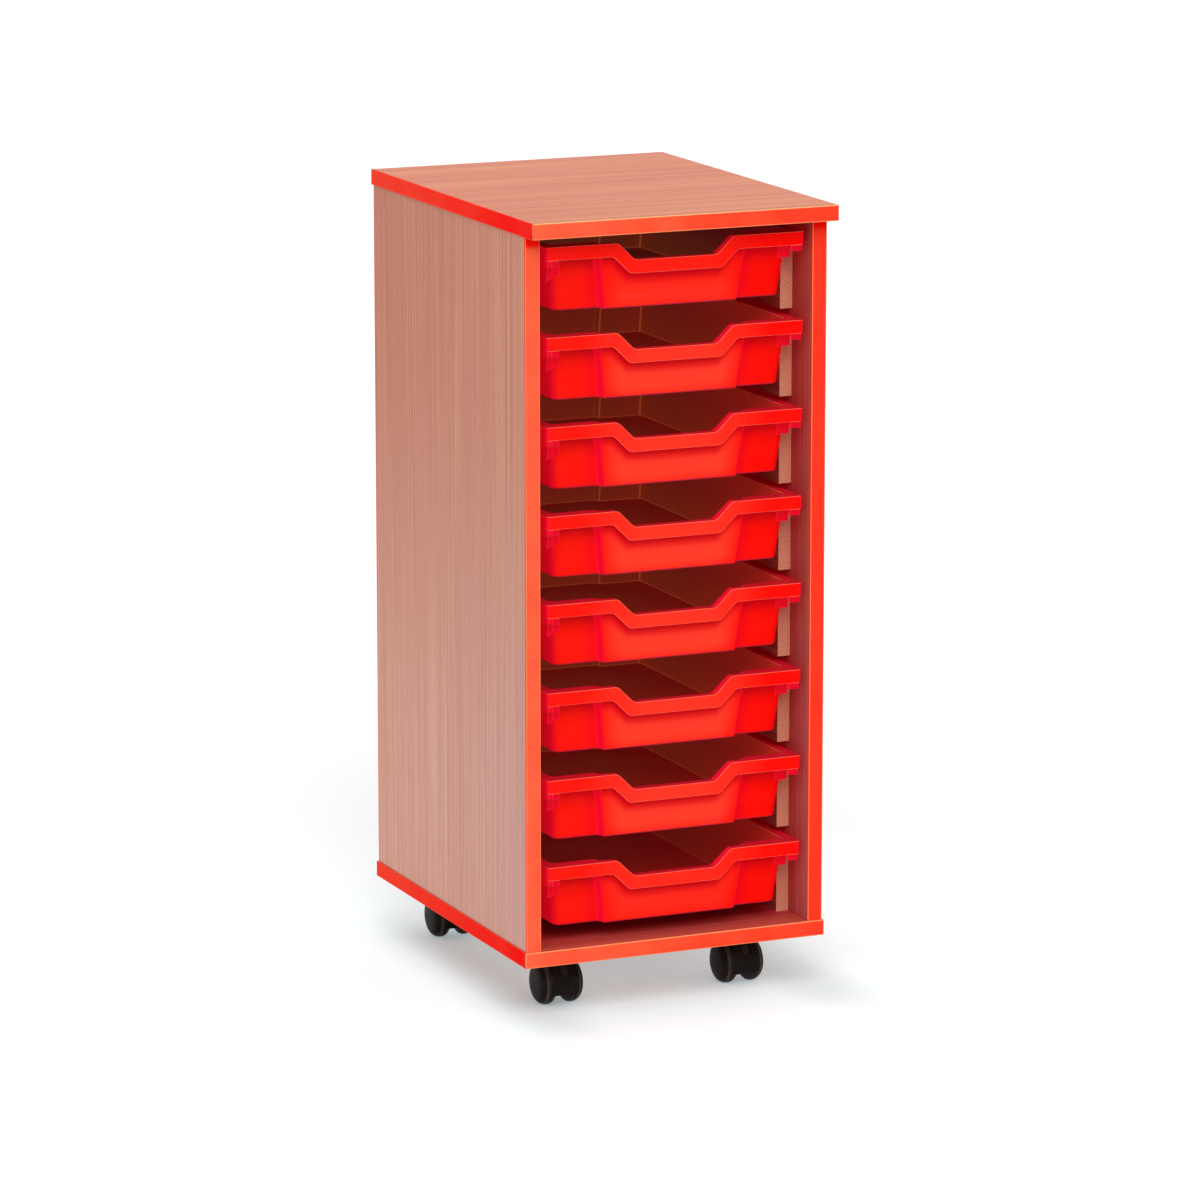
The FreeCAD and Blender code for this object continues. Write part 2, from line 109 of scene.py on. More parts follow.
class Shade:
    """A socket of a shader tree that can be used in sums."""

    def __init__(self, tree, socket=None):
        self.tree, self.socket = tree, socket

    def node(self, kind, settings, sockets, output=0):
        """A new node: its type, its settings, the values or links of its sockets."""
        made = self.tree.nodes.new("ShaderNode" + kind)
        for name, value in settings.items():
            setattr(made, name, value)
        for name, value in sockets.items():
            if isinstance(value, Shade):
                self.tree.links.new(value.socket, made.inputs[name])
            else:
                made.inputs[name].default_value = value
        return Shade(self.tree, made.outputs[output])

    def parts(self):
        """The X, Y and Z of a vector."""
        made = self.node("SeparateXYZ", {}, {"Vector": self}).socket.node
        return [Shade(self.tree, output) for output in made.outputs]

    def math(self, operation, first, second=0.0):
        """A Math node, the sum behind the signs below."""
        return self.node("Math", {"operation": operation}, {0: first, 1: second})

    def __abs__(self):
        return self.math("ABSOLUTE", self)

    def __add__(self, other):
        return self.math("ADD", self, other)

    def __sub__(self, other):
        return self.math("SUBTRACT", self, other)

    def __rsub__(self, other):
        return self.math("SUBTRACT", other, self)

    def __mul__(self, other):
        return self.math("MULTIPLY", self, other)

    __radd__ = __add__
    __rmul__ = __mul__

    def step(self, low, high):
        """0 below low, 1 above high, and a soft change between them."""
        return self.node("MapRange", {"interpolation_type": "SMOOTHSTEP"},
                         {"Value": self, "From Min": low, "From Max": high})

    def ramp(self, low, high, first=0.0, last=1.0):
        """The first value below low, the last above high, and a straight change between them."""
        return self.node("MapRange", {}, {"Value": self, "From Min": low, "From Max": high,
                                          "To Min": first, "To Max": last})

    def mix(self, first, second):
        """The first colour where this is 0 and the second where it is 1."""
        return self.node("Mix", {"data_type": "RGBA"}, {0: self, 6: first, 7: second}, 2)


print("white is", rgb(255, 255, 255))

# %% [markdown]
# ## Starting a finish
# Every finish is one Principled shader. What is the same all over is set on the shader's own
# socket, and what changes over the surface comes in by a link. Patterns read object coordinates,
# which are real metres here, so a streak keeps its true width on every piece. Places that only the
# drawing knows, such as rounded edges, reach the shader as attributes of the mesh.

# %% Starting a finish
class Finish(Shade):
    """A new material with its Principled shader, and the position on the surface in metres."""

    def __init__(self, name, **fixed):
        self.material = bpy.data.materials.new(name)
        self.material.use_nodes = True
        super().__init__(self.material.node_tree)
        self.shader = self.tree.nodes["Principled BSDF"]
        for socket, value in fixed.items():
            self.shader.inputs[socket.replace("_", " ")].default_value = value
        self.place = self.node("TexCoord", {}, {}, "Object")

    def noise(self, size, detail=2.0, roughness=0.5):
        """Cloudy pattern whose patches measure about size (x, y, z) in millimetres."""
        scale = [1000 / side for side in size]
        stretched = self.node("Mapping", {}, {"Vector": self.place, "Scale": scale})
        return self.node("TexNoise", {}, {"Vector": stretched, "Scale": 1.0, "Detail": detail,
                                          "Roughness": roughness})

    def attribute(self, name, output="Fac"):
        """What a piece's mesh carries under this name: a number, or a vector with "Vector"."""
        return self.node("Attribute", {"attribute_name": name}, {}, output)

    def apply(self, socket, value):
        """Links a sum to a socket of the shader."""
        self.tree.links.new(value.socket, self.shader.inputs[socket])

    def bump(self, height, depth_mm):
        """Fine relief of the surface, from a pattern between 0 and 1."""
        self.apply("Normal", self.node("Bump", {}, {"Height": height, "Strength": 1.0,
                                                    "Distance": depth_mm / 1000}))


EDGE = "edge"    # face attribute, 1 on the rounded edges of a piece
print("patterns are drawn in metres, sizes given in millimetres")

# %% [markdown]
# ## Beech-effect board
# The boards are chipboard with a printed beech paper under a matt clear coat. Beech has a plain,
# even figure: broad bands and long streaks of slightly different warmth, fine dark lines, and short
# flecks a few millimetres long. All of it runs one way, so the noises are stretched along the
# board's length. Light and shade are painted on the upright boards: paler and greyer low down,
# warmer and darker high up towards the rear, and a painted shadow along the foot. Inside the
# cabinet the boards stand among red plastic. A painted red reflection and painted shade turn them
# crimson, more so the deeper they lie. The print has almost no relief, only a faint grain that
# breaks the gloss.

# %% Beech-effect board
BACK_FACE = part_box("back_panel")[0].y    # front of the back board


def inside_cabinet(x, y, z):
    """1 on the faces that look into the cabinet, and 0 on the outside of the boards."""
    between_sides = 1 - abs(x).step(0.1653, 0.1658)
    between_flats = z.step(0.080, 0.084) * (1 - z.step(0.900, 0.904))
    before_back = 1 - y.step(BACK_FACE + 0.001, BACK_FACE + 0.002)
    return between_sides * between_flats * before_back


def upright_board(tone, y, z):
    """The tone of an upright board, with painted light and shade: paler and greyer low down
    and in front, warmer and darker high up towards the rear, and a painted shadow along its foot.
    """
    # painted light: paler and greyer low down and in front, where the white floor lights the board,
    # warmer and darker high up towards the rear
    paler = (1 - z.ramp(0.1, 0.7)) * z.ramp(0.05, 0.3, 0.3, 0.4)
    warmer = z.ramp(0.3, 0.8) * y.ramp(-0.4, 0.2) * 0.45
    greyer = z.ramp(0.65, 0.3) * y.ramp(0.1, -0.2) * 0.3
    # painted shadow line where the board meets the base strip
    foot = (1 - z.step(0.0852, 0.0868)) * 0.6
    tone = paler.mix(tone, rgb(240, 198, 184))
    tone = warmer.mix(tone, rgb(186, 104, 78))
    tone = greyer.mix(tone, rgb(198, 164, 170))
    return foot.mix(tone, rgb(120, 56, 44))


def beech(name, along, pale, deep, rosy):
    """Board finish with its grain along one axis, "X", "Y" or "Z"."""
    def size(across, length):
        return [length if letter == along else across for letter in "XYZ"]

    finish = Finish(name, Specular_IOR_Level=0.1)
    bands = finish.noise(size(42, 900), detail=2)
    streaks = finish.noise(size(3.0, 520), detail=4, roughness=0.58)
    lines = finish.noise(size(1.2, 260), detail=2, roughness=0.5)
    flecks = finish.noise(size(0.9, 9), detail=1)
    tone = streaks.step(0.37, 0.63).mix(pale, deep)
    tone = (bands.step(0.4, 0.64) * 0.5).mix(tone, rosy)
    x, y, z = finish.place.parts()
    if along == "Z":
        tone = upright_board(tone, y, z)
    tone = (lines.step(0.46, 0.64) * 0.45).mix(tone, deep)
    tone = (flecks.step(0.6, 0.7) * 0.2).mix(tone, rgb(150, 92, 74))
    # painted red reflection of the trays and painted shade on the faces inside the cabinet,
    # stronger further in
    crimson = lines.step(0.42, 0.58).mix(rgb(190, 24, 46), rgb(146, 3, 26))
    tone = (inside_cabinet(x, y, z) * y.ramp(-0.23, -0.15, 0.55, 0.93)).mix(tone, crimson)
    finish.apply("Base Color", tone)
    finish.apply("Roughness", 0.42 + lines * 0.16)
    finish.bump(lines * 0.6 + flecks * 0.4, 0.05)
    return finish.material


beech_top = beech("beech_top", "X", rgb(230, 156, 116), rgb(206, 114, 91), rgb(216, 127, 102))
beech_side = beech("beech_side", "Z", rgb(218, 160, 134), rgb(192, 126, 102), rgb(204, 137, 122))
print("boards:", beech_top.name, beech_side.name)

# %% [markdown]
# ## Runner battens
# The battens that the trays slide on are strips of the same board, stood on edge. Their faces have
# the beech paper, but their ends are bare, so the pressed chips show as fine speckle. A mask along
# the depth of the unit picks the two ends out. Red shade gathers where an end meets the side board
# and on the lower battens.

# %% Runner battens
def batten_board():
    finish = Finish("batten_board", Specular_IOR_Level=0.25, Roughness=0.6)
    low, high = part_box("left_batten_1")
    x, depth, z = finish.place.parts()
    front_end = 1 - depth.step(low.y + 0.0002, low.y + 0.0004)
    rear_end = depth.step(high.y - 0.0004, high.y - 0.0002)
    streaks = finish.noise((6, 260, 6), detail=3, roughness=0.6)
    # the paper is painted darker and redder than on the boards: painted shade and red reflection
    # inside the cabinet
    paper = streaks.step(0.35, 0.65).mix(rgb(168, 84, 66), rgb(142, 62, 48))
    chips = finish.noise((1.0, 1.0, 1.3), detail=3, roughness=0.7)
    chip_tone = chips.step(0.4, 0.6).mix(rgb(190, 118, 92), rgb(242, 176, 144))
    dark_chips = finish.noise((1.6, 1.6, 2.4), detail=1)
    chip_tone = (dark_chips.step(0.62, 0.74) * 0.3).mix(chip_tone, rgb(150, 86, 66))
    shade = abs(x).ramp(0.151, 0.166, 0.0, 0.2) + z.ramp(0.8, 0.3, 0.0, 0.1)
    chip_tone = shade.mix(chip_tone, rgb(150, 60, 46))
    finish.apply("Base Color", (front_end + rear_end).mix(paper, chip_tone))
    finish.bump(chips, 0.15)
    return finish.material


batten_finish = batten_board()
print("battens:", batten_finish.name)

# %% [markdown]
# ## Red edging strip
# The strips are extruded plastic with a very fine stipple. A thin light line follows the rounded
# edges, a painted highlight that is paler and more orange, and golden along the top board's upper
# edges. The modelled roundings carry a face attribute, and the shader lightens those faces, but not
# at the upright corners of the flat boards nor along the upper edge of their side strips. Front
# faces are painted lighter and more orange on the left and darker red on the right, painted light
# and shade, and the right post darker still. Side faces are painted in their own red for the light
# they get, pure red in front and more orange at the rear. The front posts end in pure red, painted
# shade of the top board.

# %% Red edging strip
FLANK = "flank"    # face attribute, 1 on the strips at the two sides of a flat board


def edging():
    finish = Finish("red_edging", Specular_IOR_Level=0.01)
    stipple = finish.noise((0.9, 0.9, 0.9), detail=2, roughness=0.7)
    clouds = finish.noise((48, 48, 48), detail=2)
    to_side, _, to_top = finish.node("TexCoord", {}, {}, "Normal").parts()
    sideways, upwards = abs(to_side).step(0.2, 0.7), to_top.step(0.3, 0.8)
    x, y, z = finish.place.parts()
    right_post = x.step(0.164, 0.166) * z.step(0.084, 0.086) * (1 - z.step(0.892, 0.894))
    tone = clouds.step(0.3, 0.7).mix(rgb(240, 62, 38), rgb(244, 82, 51))
    # painted light and shade: lighter and more orange towards the left, darker red towards the
    # right and on the right post
    tone = (x.ramp(0.02, -0.19) * 0.35).mix(tone, rgb(255, 124, 84))
    tone = (x.ramp(0.0, 0.18) * 0.7).mix(tone, rgb(244, 50, 32))
    tone = (right_post * 0.5).mix(tone, rgb(247, 40, 24))
    tone = (stipple.step(0.45, 0.75) * 0.3).mix(tone, rgb(255, 112, 76))
    # painted shade: pure red right under the top board
    under_top = z.step(0.877, 0.885) * (1 - z.step(0.893, 0.8934)) * (1 - y.step(0.0, 0.1))
    tone = (under_top * 0.95).mix(tone, rgb(255, 2, 0))
    # side faces painted in their own red for the light they get, more orange towards the rear
    rear = y.ramp(-0.2, 0.24, 0.0, 0.45) + clouds.ramp(0.4, 0.7, 0.0, 0.15)
    tone = sideways.mix(tone, rear.mix(rgb(255, 8, 2), rgb(250, 90, 62)))
    # painted highlight on the rounded edges, golden on the top board, left out at the upright
    # corners and on the upper edge of the side strips
    corner = abs(x).step(0.1834, 0.1839) * abs(y).step(0.2374, 0.2379) * 0.9
    plain = (1 - corner) * (1 - finish.attribute(FLANK) * to_top.step(-0.3, 0.1))
    line = finish.attribute(EDGE) * (0.75 - sideways * 0.5) * plain
    top_highlight = upwards * z.step(0.4, 0.6)
    tone = line.mix(tone, top_highlight.mix(rgb(255, 160, 108), rgb(255, 220, 150)))
    finish.apply("Base Color", tone)
    finish.apply("Roughness", 0.4 + stipple * 0.15)
    finish.bump(stipple, 0.04)
    return finish.material


edging_finish = edging()
print("edging:", edging_finish.name)

# %% [markdown]
# ## Tray plastic
# The trays are moulded in a slightly see-through red, so light that enters the wall leaves it again
# elsewhere. That look, and the light and shade on the trays, are painted into their colour. Flat
# end walls and the rounded corners beside them are bright red, with a painted highlight that is
# palest in the middle, on the left and in the middle trays. Where the wall turns away, at the
# sides, the steps, the webs and the top of the rim, it is painted crimson, painted shade and the
# colour these faces take in their light, with a painted shadow under the band. The hollow inside
# has a browner colour of its own and a painted brown glow with painted shade, darker in the lowest
# trays and almost black in the top one. The edges of the band carry thin pale lines, painted
# highlights. The shader tells these places apart by the way the surface faces and by its place in
# the drawing of the tray, and adds a faint painted glow, an emission that stands in for the light
# within.

# %% Tray plastic
DRAWN = "drawn"      # vertex attribute: place in the drawing, millimetres from the rim's middle
INSIDE = "inside"    # face attribute, 1 on the faces that look into the tray
WEB = "web"          # face attribute, 1 on the webs in the corners


def tray_hollow(across, along, up, height, facing):
    """Painted glow of the faces inside a tray: brown with painted shade, darker towards the rim and
    the floor's edges, paler painted highlights along the corners, and dusky painted shade in some
    trays.
    """
    to_side, to_end, to_top = facing
    # painted shade: walls darker towards the rim, floor darker towards the walls
    walls = up.ramp(-30, -70).mix(rgb(38, 19, 14), rgb(58, 28, 14))
    floor_rim = across.ramp(60, 134) + along.ramp(120, 190)
    floor = floor_rim.mix(rgb(50, 22, 13), rgb(26, 10, 7))
    tone = to_top.step(0.75, 0.95).mix(walls, floor)
    # painted highlights along the upright corners and where walls meet the floor
    upright_corner = (abs(to_side) * abs(to_end)).step(0.44, 0.49)
    floor_corner = to_top.step(0.2, 0.4) * (1 - to_top.step(0.5, 0.8))
    tone = ((upright_corner + floor_corner) * 0.7).mix(tone, rgb(122, 62, 32))
    # painted shade: almost black in the top tray under the top board, darker in the lowest trays
    dusk = height.step(0.83, 0.87) * 0.85 + height.ramp(0.28, 0.12) * 0.55
    return dusk.mix(tone, rgb(26, 3, 7))


def tray_plastic():
    finish = Finish("tray_plastic", Specular_IOR_Level=0.02, Emission_Strength=1.0,
                    Subsurface_Weight=0.08, Subsurface_Radius=(0.006, 0.0012, 0.0008),
                    Subsurface_Scale=1.0)
    frost = finish.noise((1.4, 1.4, 1.4), detail=2, roughness=0.6)
    clouds = finish.noise((60, 60, 30), detail=2)
    edge, inside, web = [finish.attribute(name) for name in (EDGE, INSIDE, WEB)]
    height = finish.place.parts()[2]

    # place on the tray and the way the surface faces
    across, along, up = finish.attribute(DRAWN, "Vector").parts()
    leftwards = across.ramp(150, -150)
    across, along = abs(across), abs(along)
    spread = across - up * 0.12
    band = along.step(211.5, 212.8)
    hem = across.ramp(55.5, 75.5, -34.5, -15)
    skirt = (hem - up).step(0.2, 0.8) * along.step(206, 208)
    facing = finish.node("TexCoord", {}, {}, "Normal").parts()
    upwards = abs(facing[2]).step(0.4, 0.8)
    round_corner = across.step(112, 118) * (1 - band)
    sideways = (abs(facing[0]) - round_corner * 0.4).step(0.04, 0.5)

    # bright end walls: random clouds, and a painted highlight, palest in the middle of the wall, on
    # the left and in the middle trays
    amid = 1 - abs(height - 0.49).step(0.26, 0.38) * 0.6 - height.step(0.8, 0.84) * 0.2
    pillow = (1 - spread.ramp(66, 90)) * up.ramp(-75, -62, 0.35, 1.0) * (hem - up).ramp(0, 16)
    raised = (1 - band) * pillow + band * across.ramp(40, 115, 0.65, 0.0)
    pale = clouds.ramp(0.3, 0.7, 0.0, 0.08) + leftwards * 0.14 + raised * amid * 0.95
    bright = pale.mix(rgb(250, 6, 3), rgb(252, 60, 42))

    # painted shade in crimson: a painted shadow under the band, shade beside the step and on webs
    # and skirt, and faces towards the sides and up painted in the colour they take in their light
    under_band = (up - hem).step(-18, -1) * (1 - band)
    beside_step = spread.step(92.5, 95) * (1 - spread.step(97, 112)) * (1 - band)
    crimson = (under_band + beside_step * 0.6).ramp(0, 1, 0.0, 0.68)
    lug = (skirt + web).ramp(0, 1)
    tone = lug.mix(crimson.mix(bright, rgb(222, 2, 30)), rgb(214, 6, 30))
    tone = upwards.mix(sideways.mix(tone, rgb(206, 12, 36)), rgb(200, 22, 44))

    # painted highlights along the edges and along the bottom of the wall, and the faces inside in a
    # browner colour of their own for their look in shade
    line = edge * 0.9 + (1 - up.step(-74.0, -72.4)) * 0.8
    highlight_tone = (band * (1 - skirt)).mix(rgb(208, 52, 78), rgb(255, 132, 108))
    inner_tone = edge.mix(rgb(236, 50, 38), rgb(255, 150, 110))
    finish.apply("Base Color", inside.mix(line.mix(tone, highlight_tone), inner_tone))

    # painted glow through the emission, standing in for light that passes through the plastic:
    # crimson on the sides and webs, faint elsewhere, brown inside
    painted_glow = lug.mix(rgb(44, 0, 0), web.mix(rgb(70, 2, 14), rgb(140, 4, 18)))
    painted_glow = sideways.mix(painted_glow, rgb(160, 4, 21))
    hollow = tray_hollow(across, along, up, height, facing)
    finish.apply("Emission Color", inside.mix(painted_glow, hollow))
    finish.apply("Roughness", 0.36 + frost * 0.16)
    finish.bump(frost, 0.03)
    return finish.material


tray_finish = tray_plastic()
print("trays:", tray_finish.name)

# %% [markdown]
# ## Castor plastic, steel and dowels
# The hoods and wheels are black nylon with a satin moulded skin. Grey painted highlights lie along
# the edges of the hoods, on the raised drop and in bands round the treads. The plates, pins, axles
# and screws are bright zinc, whose colour drifts a little as plating does. The dowels are plain
# turned beech.

# %% Castor plastic, steel and dowels
def castor_plastic():
    finish = Finish("castor_plastic", Specular_IOR_Level=0.05)
    skin = finish.noise((0.7, 0.7, 0.7), detail=2, roughness=0.6)
    wear = finish.noise((9, 9, 9), detail=3)
    edge = finish.attribute(EDGE)
    tone = wear.step(0.4, 0.7).mix(rgb(23, 17, 17), rgb(32, 25, 24))
    # painted highlight: grey on the rounded edges of the hood, on the drop and on bands of the
    # tread
    tone = (edge * 0.6).mix(tone, rgb(92, 82, 74))
    finish.apply("Base Color", tone)
    finish.apply("Roughness", 0.3 + wear * 0.2)
    finish.bump(skin, 0.03)
    return finish.material


def zinc_steel():
    finish = Finish("zinc_steel", Metallic=1.0)
    plating = finish.noise((5, 5, 5), detail=3)
    brushed = finish.noise((0.4, 6, 0.4), detail=2)
    finish.apply("Base Color", plating.mix(rgb(176, 178, 184), rgb(206, 204, 198)))
    finish.apply("Roughness", 0.26 + brushed * 0.2)
    finish.bump(brushed, 0.01)
    return finish.material


castor_finish = castor_plastic()
steel_finish = zinc_steel()
dowel_finish = beech("dowel_wood", "Z", rgb(222, 184, 142), rgb(196, 150, 108), rgb(208, 164, 124))
print("small parts:", castor_finish.name, steel_finish.name, dowel_finish.name)

# %% [markdown]
# ## Finishing the measured pieces
# The boards, battens and fixings keep their measured shape. Each one only gets its finish, chosen
# by the start of its name, and whatever isn't named is steel. The top and base boards have the
# grain across the unit, and the upright boards have it from floor to top.

# %% Finishing the measured pieces
kept_finishes = {
    "top_panel": beech_top,
    "base_panel": beech_top,
    "left_side_panel": beech_side,
    "right_side_panel": beech_side,
    "back_panel": beech_side,
    "left_batten": batten_finish,
    "right_batten": batten_finish,
    "carcass_dowels": dowel_finish,
}
for name, node in frame["nodes"].items():
    finish = next((kept for start, kept in kept_finishes.items() if name.startswith(start)),
                  steel_finish)
    if not node.material_slots:
        node.data.materials.append(finish)
    for material_slot in node.material_slots:
        material_slot.material = finish
print(len(frame["nodes"]), "measured pieces have a finish")

# %% [markdown]
# ## Drawing helpers
# New pieces are drawn in millimetres with bmesh and handed over in metres. `round_edges` softens
# every sharp edge with a small bevel and marks the new faces, and `hand_over` turns the drawing
# into an object that rides on a body, stands for a measured piece and takes its finish. A weighted
# normal modifier keeps the large faces flat beside their rounded edges.

# %% Drawing helpers
MM = 0.001


def add_box(bm, low, high):
    """A box between two corners. Returns its vertices."""
    verts = bmesh.ops.create_cube(bm, size=1)["verts"]
    bmesh.ops.scale(bm, vec=[b - a for a, b in zip(low, high)], verts=verts)
    bmesh.ops.translate(bm, vec=[(a + b) / 2 for a, b in zip(low, high)], verts=verts)
    return verts


def bevel(bm, edges, offset, segments):
    """Bevels the edges to a round. Returns the new faces."""
    return bmesh.ops.bevel(bm, geom=edges, offset=offset, offset_type="OFFSET", segments=segments,
                           profile=0.5, affect="EDGES", clamp_overlap=True, material=-1)["faces"]


def round_edges(bm, edges, offset, segments=2):
    """Bevels the edges and marks the new faces as edge faces."""
    layer = bm.faces.layers.float.get(EDGE) or bm.faces.layers.float.new(EDGE)
    for face in bevel(bm, edges, offset, segments):
        face[layer] = 1.0


def sharp_edges(bm, degrees=35):
    """Edges between two faces that turn by more than an angle."""
    return [edge for edge in bm.edges if len(edge.link_faces) == 2
            and edge.calc_face_angle() > math.radians(degrees)]


def hand_over(bm, name, node, finish, place=(0, 0, 0)):
    """Object in metres at its place, riding on its body and standing for the measured node."""
    mesh = bpy.data.meshes.new(name)
    bm.to_mesh(mesh)
    mesh.transform(Matrix.Translation(Vector(place) * MM) @ Matrix.Scale(MM, 4))
    mesh.materials.append(finish)
    mesh.shade_smooth()
    piece = bpy.data.objects.new(name, mesh)
    bpy.context.scene.collection.objects.link(piece)
    flat = piece.modifiers.new("flat_faces", "WEIGHTED_NORMAL")
    flat.weight = 100
    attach(piece, frame["nodes"][node]["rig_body"])
    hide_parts(node)
    return piece


def box_mm(node):
    """Lowest and highest corner of a measured piece, in millimetres."""
    low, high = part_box(node)
    return low / MM, high / MM


print("new pieces are drawn in millimetres")

# %% [markdown]
# ## Edging strips
# Each board edge carries a strip 2 mm thick, flush with both faces, whose outer corners are
# trimmed to a small radius. A box per strip, with only its outer edges bevelled, gives that. The
# front and back strips run the full width and the side strips butt against them.

# %% Edging strips
STRIP = 2.0
TRIM_RADIUS = 1.1


def add_strip(bm, low, high, outward, ends_show):
    """One strip. Its outer long edges are trimmed round, and its outer ends where they show."""
    verts = add_box(bm, low, high)
    reach = max(Vector(outward).dot(vert.co) for vert in verts)
    outer = [vert for vert in verts if Vector(outward).dot(vert.co) > reach - 0.01]
    edges = {edge for vert in outer for edge in vert.link_edges if edge.other_vert(vert) in outer}
    if not ends_show:
        longest = max(edge.calc_length() for edge in edges)
        edges = {edge for edge in edges if edge.calc_length() > longest - 0.01}
    round_edges(bm, list(edges), TRIM_RADIUS, 3)


def flat_board_edging(node):
    """Strips round the top or base board, as one object of four strips."""
    low, high = box_mm(node)
    bm = bmesh.new()
    add_strip(bm, low, (high.x, low.y + STRIP, high.z), (0, -1, 0), True)
    add_strip(bm, (low.x, high.y - STRIP, low.z), high, (0, 1, 0), True)
    side_low, side_high = low.y + STRIP, high.y - STRIP
    add_strip(bm, (low.x, side_low, low.z), (low.x + STRIP, side_high, high.z), (-1, 0, 0), False)
    add_strip(bm, (high.x - STRIP, side_low, low.z), (high.x, side_high, high.z), (1, 0, 0), False)
    layer = bm.faces.layers.float.new(FLANK)
    for face in bm.faces:
        middle = face.calc_center_median()
        face[layer] = float(side_low < middle.y < side_high and abs(middle.x) > high.x - STRIP)
    return hand_over(bm, node + "_strips", node, edging_finish)


def side_board_edging(node):
    """The front and back strip of an upright board."""
    low, high = box_mm(node)
    bm = bmesh.new()
    add_strip(bm, low, (high.x, low.y + STRIP, high.z), (0, -1, 0), False)
    add_strip(bm, (low.x, high.y - STRIP, low.z), high, (0, 1, 0), False)
    return hand_over(bm, node + "_strips", node, edging_finish)


strips = [flat_board_edging("top_edging"), flat_board_edging("base_edging"),
          side_board_edging("left_side_edging"), side_board_edging("right_side_edging")]
print("edging:", ", ".join(strip.name for strip in strips))

# %% [markdown]
# ## Tray: a quarter of the moulded sheet
# A moulded tray is one sheet of plastic of even thickness. It is the same left and right, front
# and back, so a quarter is enough. The drawing is the face of the sheet that looks at you from
# above: the inside of the body, the top of the rim and the outside of the band round it. Walls
# and band are extruded from the flat rim, and the end wall steps out in the middle.

# %% Tray: a quarter of the moulded sheet
WALL = 2.2
HALF_WIDTH, HALF_LENGTH, HEIGHT = 156.0, 213.5, 75.0
BAND, SKIRT = 15.0, 22.0    # lower edges of band and skirt, below the rim
DIP, DIP_LOW, DIP_HIGH = 19.5, 50.0, 70.0    # depth, half widths at the bottom and the top
DIP_SPREAD = 5.5    # how much wider the dip is on the band's lower edge
SKIRT_INSET, SKIRT_CAP = 1.0, 15.0
SIDE, SHOULDER = (143.3, 134.8), (193.8, 186.3)    # of the body, level with rim and underside
MIDDLE, MIDDLE_FACE = (87.8, 78.8), (203.3, 196.3)
STEP_SLANT = 3
FLOOR_DEPTH = HEIGHT - WALL
END_DRAFT = 7.0 / HEIGHT
END_ZONE = 195    # everything beyond this is part of the tray's end


def inside_line(depth):
    """Inside corners of a quarter of the body at a depth below the rim, long side first."""
    side, shoulder, middle, middle_face = [
        top + (bottom - top) * depth / HEIGHT
        for top, bottom in (SIDE, SHOULDER, MIDDLE, MIDDLE_FACE)]
    return [(side, 0), (side, shoulder), (middle + STEP_SLANT, shoulder), (middle, middle_face),
            (0, middle_face)]


def move_to_line(verts, line, z):
    """Puts each vertex on the same corner of another line. The corners are told by their order."""
    start = inside_line(0)
    for vert in verts:
        nearest = min(range(len(start)), key=lambda i: (vert.co.xy - Vector(start[i])).length)
        vert.co = (*line[nearest], z)


def new_verts(result):
    """The vertices that an extrusion has made."""
    return [item for item in result["geom"] if isinstance(item, bmesh.types.BMVert)]


def on_end_band(faces):
    """The faces that lie flat on the band at the tray's end."""
    return [face for face in faces if all(v.co.y > HALF_LENGTH - 1 for v in face.verts)]


def draw_quarter():
    """Rim, band, walls and floor of a quarter. Returns the drawing, its rim and its end band."""
    bm = bmesh.new()
    inner = [bm.verts.new((x, y, 0)) for x, y in inside_line(0)]
    outer = [bm.verts.new((x, y, 0)) for x, y in ((0, HALF_LENGTH), (HALF_WIDTH, HALF_LENGTH),
                                                  (HALF_WIDTH, 0))]
    rim = bm.faces.new(inner + outer)
    wall_tops = [bm.edges.get(pair) for pair in zip(inner, inner[1:])]
    band_tops = [bm.edges.get(pair) for pair in zip(outer, outer[1:])]
    bottom = new_verts(bmesh.ops.extrude_edge_only(bm, edges=wall_tops))
    move_to_line(bottom, inside_line(FLOOR_DEPTH), -FLOOR_DEPTH)
    lower = new_verts(bmesh.ops.extrude_edge_only(bm, edges=band_tops))
    bmesh.ops.translate(bm, vec=(0, 0, -BAND), verts=lower)
    order = [min(bottom, key=lambda v: (v.co.xy - Vector(point)).length)
             for point in inside_line(FLOOR_DEPTH)]
    bm.faces.new(order + [bm.verts.new((0, 0, -FLOOR_DEPTH))])
    return bm, rim, on_end_band(bm.faces)[0]


tray_sheet, rim_face, end_band = draw_quarter()
print("a quarter of the sheet starts with", len(tray_sheet.faces), "faces")

# %% [markdown]
# ## Tray: finger dip and sliding skirt
# Both ends of the rim dip so that fingers can reach in. Two cuts across the rim give the dip its
# folds, and the middle is pushed down. The folds lean outwards on the band, so its lower edge is
# wider than its upper one. Below the band a short skirt, set back by a millimetre, runs along the
# sides and round the corners. It is what slides on the battens.

# %% Tray: finger dip and sliding skirt
def cut(bm, faces, x):
    """Cuts the faces at an upright plane. Returns the faces on both sides of it."""
    geometry = list({item for face in faces for item in (face, *face.edges, *face.verts)})
    result = bmesh.ops.bisect_plane(bm, geom=geometry, dist=0.001, plane_co=(x, 0, 0),
                                    plane_no=(1, 0, 0))
    return [item for item in result["geom"] if isinstance(item, bmesh.types.BMFace)]


